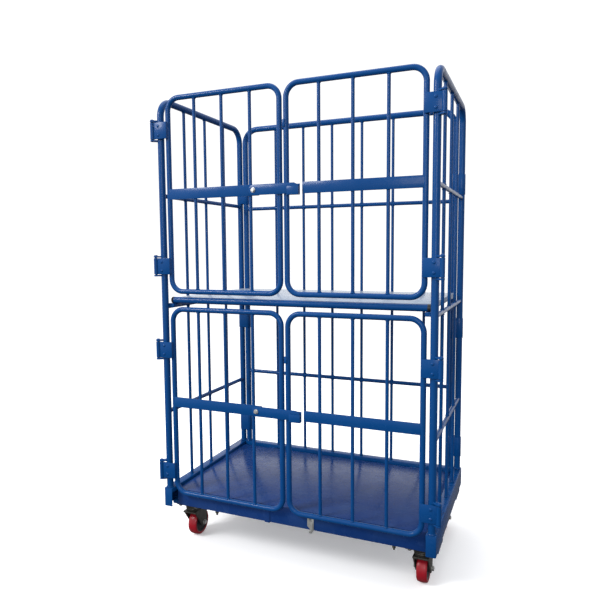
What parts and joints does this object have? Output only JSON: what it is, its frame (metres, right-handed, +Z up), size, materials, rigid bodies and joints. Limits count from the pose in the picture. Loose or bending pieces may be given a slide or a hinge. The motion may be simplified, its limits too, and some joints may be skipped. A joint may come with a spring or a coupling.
{
  "type": "roll cage container",
  "caption": "Tall welded tube cage on castors, with paired double doors, a fold-up deck and a fold-up middle shelf, for moving stacked goods.",
  "frame": {"origin": "on the floor in the middle of the overall box", "axes": "+Z up, +Y from the doors towards the back panel, +X to the right seen from the doors"},
  "size_m": [1.064, 0.642, 1.6996],
  "materials": {
    "blue_gloss": "gloss powder coat",
    "pale_sheet": "satin sheet",
    "zinc": "zinc plated",
    "dark_zinc": "dull dark plated",
    "red_tyre": "gloss polyurethane"
  },
  "bodies": {
    "cage": {"back_panel": "blue_gloss", "rear_sill": "blue_gloss", "left_side_panel": "blue_gloss", "right_side_panel": "blue_gloss", "left_sill": "blue_gloss", "right_sill": "blue_gloss", "deck_hinge_left": "blue_gloss", "deck_hinge_right": "blue_gloss", "corner_hinge_left_1": "blue_gloss", "corner_hinge_left_2": "blue_gloss", "corner_hinge_left_3": "blue_gloss", "corner_hinge_right_1": "blue_gloss", "corner_hinge_right_2": "blue_gloss", "corner_hinge_right_3": "blue_gloss", "hinge_bracket_upper_left_1": "blue_gloss", "hinge_bracket_upper_left_2": "blue_gloss", "hinge_bracket_upper_right_1": "blue_gloss", "hinge_bracket_upper_right_2": "blue_gloss", "hinge_bracket_lower_left_1": "blue_gloss", "hinge_bracket_lower_left_2": "blue_gloss", "hinge_bracket_lower_right_1": "blue_gloss", "hinge_bracket_lower_right_2": "blue_gloss", "front_left_castor_plate": "dark_zinc", "front_right_castor_plate": "dark_zinc", "rear_left_castor_fork": "dark_zinc", "rear_right_castor_fork": "dark_zinc", "rear_left_castor_axle": "zinc", "rear_right_castor_axle": "zinc"},
    "deck": {"deck": "blue_gloss", "deck_hook": "zinc"},
    "shelf": {"shelf_sheet": "pale_sheet", "shelf_front_tube": "blue_gloss"},
    "door_upper_left": {"door_upper_left": "blue_gloss", "hinge_leaf_upper_left_1": "blue_gloss", "hinge_leaf_upper_left_2": "blue_gloss", "latch_bolt_upper": "zinc"},
    "door_upper_right": {"door_upper_right": "blue_gloss", "hinge_leaf_upper_right_1": "blue_gloss", "hinge_leaf_upper_right_2": "blue_gloss", "latch_keeper_upper": "blue_gloss"},
    "latch_upper": {"latch_lever_upper": "blue_gloss"},
    "door_lower_left": {"door_lower_left": "blue_gloss", "hinge_leaf_lower_left_1": "blue_gloss", "hinge_leaf_lower_left_2": "blue_gloss", "latch_bolt_lower": "zinc"},
    "door_lower_right": {"door_lower_right": "blue_gloss", "hinge_leaf_lower_right_1": "blue_gloss", "hinge_leaf_lower_right_2": "blue_gloss", "latch_keeper_lower": "blue_gloss"},
    "latch_lower": {"latch_lever_lower": "blue_gloss"},
    "front_left_castor": {"front_left_castor_fork": "dark_zinc", "front_left_castor_axle": "zinc"},
    "front_left_castor_wheel": {"front_left_castor_wheel": "red_tyre"},
    "front_left_castor_pedal": {"front_left_castor_brake": "zinc"},
    "rear_left_castor_wheel": {"rear_left_castor_wheel": "red_tyre"},
    "front_right_castor": {"front_right_castor_fork": "dark_zinc", "front_right_castor_axle": "zinc"},
    "front_right_castor_wheel": {"front_right_castor_wheel": "red_tyre"},
    "front_right_castor_pedal": {"front_right_castor_brake": "zinc"},
    "rear_right_castor_wheel": {"rear_right_castor_wheel": "red_tyre"}
  },
  "joints": [
    {"name": "deck_fold", "type": "hinge", "parent": "cage", "child": "deck", "pos_m": [0, 0.277, 0.215], "axis": [-1, 0, 0], "range_deg": [0, 90]},
    {"name": "shelf_fold", "type": "hinge", "parent": "cage", "child": "shelf", "pos_m": [0, 0.281, 0.957], "axis": [-1, 0, 0], "range_deg": [0, 90]},
    {"name": "door_upper_left_swing", "type": "hinge", "parent": "cage", "child": "door_upper_left", "pos_m": [-0.524, -0.313, 1.345], "axis": [0, 0, -1], "range_deg": [0, 270]},
    {"name": "door_upper_right_swing", "type": "hinge", "parent": "cage", "child": "door_upper_right", "pos_m": [0.524, -0.313, 1.345], "axis": [0, 0, 1], "range_deg": [0, 270]},
    {"name": "latch_upper_lift", "type": "hinge", "parent": "door_upper_left", "child": "latch_upper", "pos_m": [-0.116, -0.295, 1.345], "axis": [0, -1, 0], "range_deg": [0, 90]},
    {"name": "door_lower_left_swing", "type": "hinge", "parent": "cage", "child": "door_lower_left", "pos_m": [-0.524, -0.313, 0.572], "axis": [0, 0, -1], "range_deg": [0, 270]},
    {"name": "door_lower_right_swing", "type": "hinge", "parent": "cage", "child": "door_lower_right", "pos_m": [0.524, -0.313, 0.572], "axis": [0, 0, 1], "range_deg": [0, 270]},
    {"name": "latch_lower_lift", "type": "hinge", "parent": "door_lower_left", "child": "latch_lower", "pos_m": [-0.116, -0.295, 0.572], "axis": [0, -1, 0], "range_deg": [0, 90]},
    {"name": "front_left_castor_swivel", "type": "hinge", "parent": "cage", "child": "front_left_castor", "pos_m": [-0.454, -0.21, 0.12], "axis": [0, 0, 1], "continuous": true},
    {"name": "front_left_castor_roll", "type": "hinge", "parent": "front_left_castor", "child": "front_left_castor_wheel", "pos_m": [-0.454, -0.175, 0.05], "axis": [1, 0, 0], "continuous": true},
    {"name": "front_left_castor_brake", "type": "hinge", "parent": "front_left_castor", "child": "front_left_castor_pedal", "pos_m": [-0.454, -0.153, 0.11], "axis": [-1, 0, 0], "range_deg": [0, 22]},
    {"name": "rear_left_castor_roll", "type": "hinge", "parent": "cage", "child": "rear_left_castor_wheel", "pos_m": [-0.454, 0.23, 0.05], "axis": [1, 0, 0], "continuous": true},
    {"name": "front_right_castor_swivel", "type": "hinge", "parent": "cage", "child": "front_right_castor", "pos_m": [0.454, -0.21, 0.12], "axis": [0, 0, 1], "continuous": true},
    {"name": "front_right_castor_roll", "type": "hinge", "parent": "front_right_castor", "child": "front_right_castor_wheel", "pos_m": [0.454, -0.175, 0.05], "axis": [1, 0, 0], "continuous": true},
    {"name": "front_right_castor_brake", "type": "hinge", "parent": "front_right_castor", "child": "front_right_castor_pedal", "pos_m": [0.454, -0.153, 0.11], "axis": [-1, 0, 0], "range_deg": [0, 22]},
    {"name": "rear_right_castor_roll", "type": "hinge", "parent": "cage", "child": "rear_right_castor_wheel", "pos_m": [0.454, 0.23, 0.05], "axis": [1, 0, 0], "continuous": true}
  ]
}
